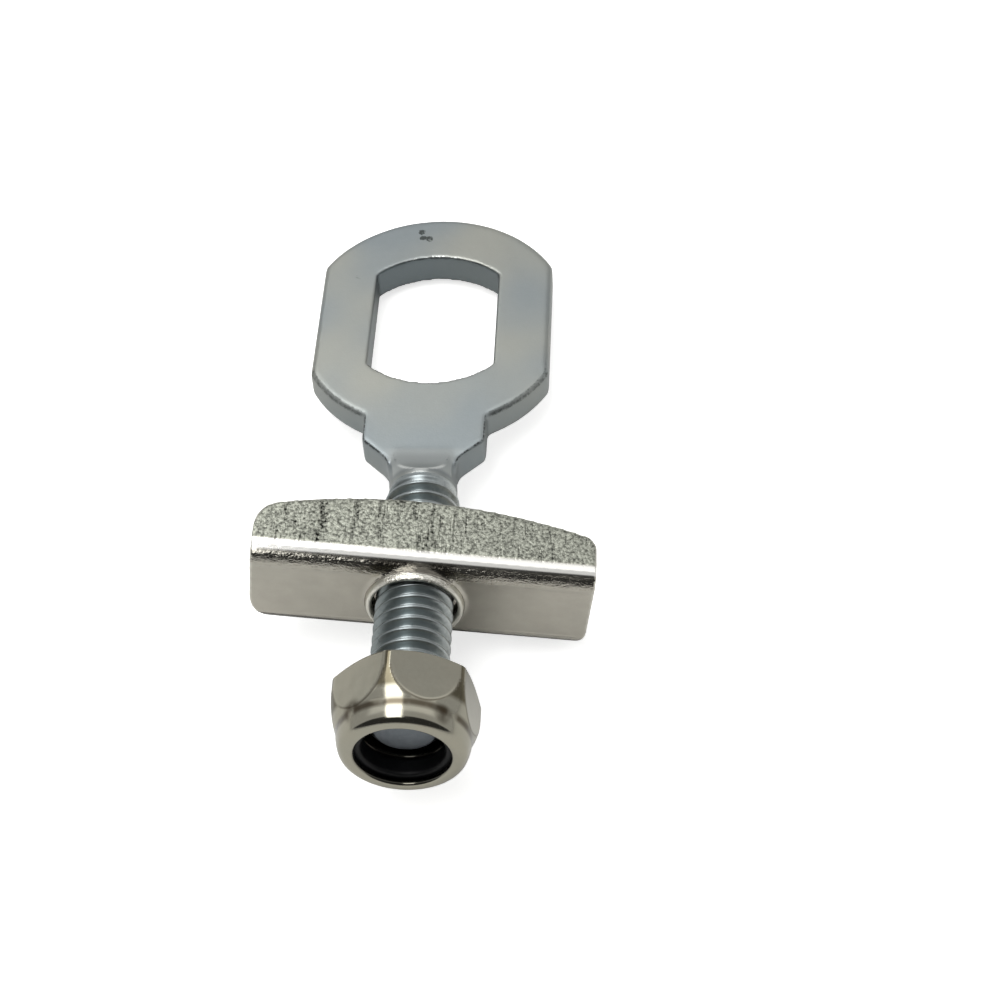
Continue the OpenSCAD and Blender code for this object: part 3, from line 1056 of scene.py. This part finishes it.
class TENSIONER_OT_stage(bpy.types.Operator):
    """Sets the floor, the lamps, the surroundings and the camera"""

    bl_idname = "tensioner.stage"
    bl_label = "Stage"

    def execute(self, context):
        look = context.scene.tensioner_stage
        self.floor(look)
        self.surroundings(context, look)
        self.lamps(look)
        self.camera(context, look)
        context.scene.view_settings.view_transform = "Standard"
        return {"FINISHED"}

    def floor(self, look):
        """A pale floor under the part, sloping as the part lies on the eye's far end."""
        finish = Finish("floor")
        path = finish.node("ShaderNodeLightPath")
        seen = Flow(finish.tree, path.outputs["Is Camera Ray"])
        matt = finish.flow("ShaderNodeBsdfDiffuse", inputs={"Color": tone(*look.floor)})
        glow = finish.flow(
            "ShaderNodeEmission", inputs={"Color": (1, 1, 1, 1), "Strength": seen * 0.7}
        )
        both = finish.flow("ShaderNodeAddShader", inputs={0: matt, 1: glow})
        finish.node("ShaderNodeOutputMaterial", inputs={0: both})
        mesh = bpy.data.meshes.new("floor")
        half = 1.5
        corners = [(-half, -half, 0), (half, -half, 0), (half, half, 0), (-half, half, 0)]
        mesh.from_pydata(corners, [], [(0, 1, 2, 3)])
        lean = math.atan2(FLOOR_DROP - HALF_PLATE, FLOOR_REACH + EYE_END)
        place = Matrix.Translation((0, -FLOOR_REACH * MM, -FLOOR_DEPTH * MM))
        mesh.transform(place @ Matrix.Rotation(lean, 4, "X"))
        mesh.materials.append(finish.material)
        show("floor", mesh)

    def surroundings(self, context, look):
        """Pale all round and white to the camera, darker behind the camera."""
        world = context.scene.world or bpy.data.worlds.new("surroundings")
        context.scene.world = world
        world.use_nodes = True
        world.node_tree.nodes.clear()
        board = Board(world.node_tree)
        coords = board.flow("ShaderNodeTexCoord", out="Generated")
        parts = board.node("ShaderNodeSeparateXYZ", inputs={0: coords})
        ahead, up = Flow(board.tree, parts.outputs[1]), Flow(board.tree, parts.outputs[2])
        dark = board.step(ahead, -0.3, -0.42) * board.step(up, -0.05, 0.0)
        grey = look.surround - dark * (look.surround - 0.05)
        # a paler part of the ceiling, beyond the soft box
        pale = board.between(ahead, 0.0, 0.1, 0.42, 0.58) * board.step(up, 0.5, 0.7)
        grey = grey + pale * 0.5
        path = board.node("ShaderNodeLightPath")
        seen = Flow(board.tree, path.outputs["Is Camera Ray"])
        strength = grey + seen * (1.0 - grey)
        glow = board.flow(
            "ShaderNodeBackground", inputs={"Color": (1, 1, 1, 1), "Strength": strength}
        )
        board.node("ShaderNodeOutputWorld", inputs={0: glow})

    def lamps(self, look):
        """One large soft box overhead, set a little to the left."""
        lamp = bpy.data.lights.new("soft_box", "AREA")
        lamp.shape = "RECTANGLE"
        lamp.size = 0.6
        lamp.size_y = 0.19
        lamp.energy = look.softbox
        box = bpy.data.objects.new("soft_box", lamp)
        bpy.context.scene.collection.objects.link(box)
        middle = Vector((0.0, -0.025, 0.0))
        box.location = middle + Vector((-0.09, 0.0, 0.4))
        box.rotation_euler = (box.location - middle).to_track_quat("Z", "Y").to_euler()

    def camera(self, context, look):
        """The photograph's viewing angle."""
        lens = bpy.data.cameras.new("camera")
        lens.sensor_width = 36.0
        lens.lens = look.lens
        lens.clip_start = 0.01
        lens.clip_end = 10.0
        eye = bpy.data.objects.new("camera", lens)
        context.scene.collection.objects.link(eye)
        right, up, back = camera_axes(*(math.radians(angle) for angle in CAMERA_ANGLES))
        turn = Matrix((right, up, back)).transposed().to_4x4()
        eye.matrix_world = Matrix.Translation(CAMERA_PLACE) @ turn
        context.scene.camera = eye


class TENSIONER_PT_panel(bpy.types.Panel):
    """Lists the tensioner's pieces"""

    bl_idname = "TENSIONER_PT_panel"
    bl_label = "Chain tensioner"
    bl_space_type = "VIEW_3D"
    bl_region_type = "UI"
    bl_category = "Tensioner"

    def draw(self, context):
        for operator in OPERATORS:
            self.layout.operator(operator.bl_idname)


LOOKS = {
    "tensioner_forging": ForgingLook,
    "tensioner_thread": ThreadLook,
    "tensioner_sheet": SheetLook,
    "tensioner_nut": NutLook,
    "tensioner_ring": RingLook,
    "tensioner_stage": StageLook,
}
OPERATORS = (
    TENSIONER_OT_stage,
    TENSIONER_OT_eye_bolt,
    TENSIONER_OT_thread,
    TENSIONER_OT_end_bracket,
    TENSIONER_OT_locking_nut,
    TENSIONER_OT_locking_ring,
)


def register():
    for kind in (*LOOKS.values(), *OPERATORS, TENSIONER_PT_panel):
        bpy.utils.register_class(kind)
    for name, kind in LOOKS.items():
        setattr(bpy.types.Scene, name, bpy.props.PointerProperty(type=kind))


def unregister():
    for name in LOOKS:
        delattr(bpy.types.Scene, name)
    for kind in reversed((*LOOKS.values(), *OPERATORS, TENSIONER_PT_panel)):
        bpy.utils.unregister_class(kind)


def main():
    """Builds the whole part."""
    register()
    for operator in OPERATORS:
        group, name = operator.bl_idname.split(".")
        getattr(getattr(bpy.ops, group), name)()


if __name__ == "__main__":
    main()
